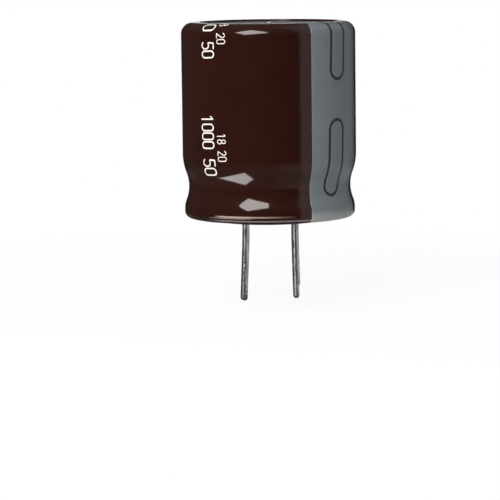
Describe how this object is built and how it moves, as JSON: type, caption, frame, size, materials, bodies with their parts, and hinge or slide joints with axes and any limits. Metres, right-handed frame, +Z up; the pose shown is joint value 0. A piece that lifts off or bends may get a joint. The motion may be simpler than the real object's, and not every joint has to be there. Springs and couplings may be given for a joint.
{
  "type": "electrolytic capacitor",
  "caption": "Upright round can in a shrink sleeve with a polarity stripe, on parallel wire leads, that stores charge on a circuit board.",
  "frame": {"origin": "centre of the seal's outer face, between the leads, where the part sits on the board", "axes": "+Z up through the can, +X towards the negative lead under the stripe"},
  "size_m": [0.0185, 0.0184, 0.0302],
  "materials": {
    "sleeve_film": "glossy brown shrink film",
    "stripe_ink": "grey-blue print under the film's gloss",
    "mark_ink": "dark print",
    "can_metal": "drawn, satin",
    "seal_rubber": "matt black",
    "tinned_wire": "bright tin with fine drawing marks",
    "terminal_metal": "bright",
    "etched_foil": "etched, matt",
    "plain_foil": "etched, matt",
    "soaked_paper": "damp",
    "tape_film": "film tape"
  },
  "bodies": {
    "root": {"sleeve": "sleeve_film", "polarity_stripe": "stripe_ink", "minus_marks": "mark_ink", "can": "can_metal", "rubber_seal": "seal_rubber", "positive_lead": "tinned_wire", "negative_lead": "tinned_wire", "positive_terminal": "terminal_metal", "negative_terminal": "terminal_metal", "anode_foil": "etched_foil", "cathode_foil": "plain_foil", "inner_separator": "soaked_paper", "outer_separator": "soaked_paper", "winding_tape": "tape_film"}
  },
  "joints": []
}
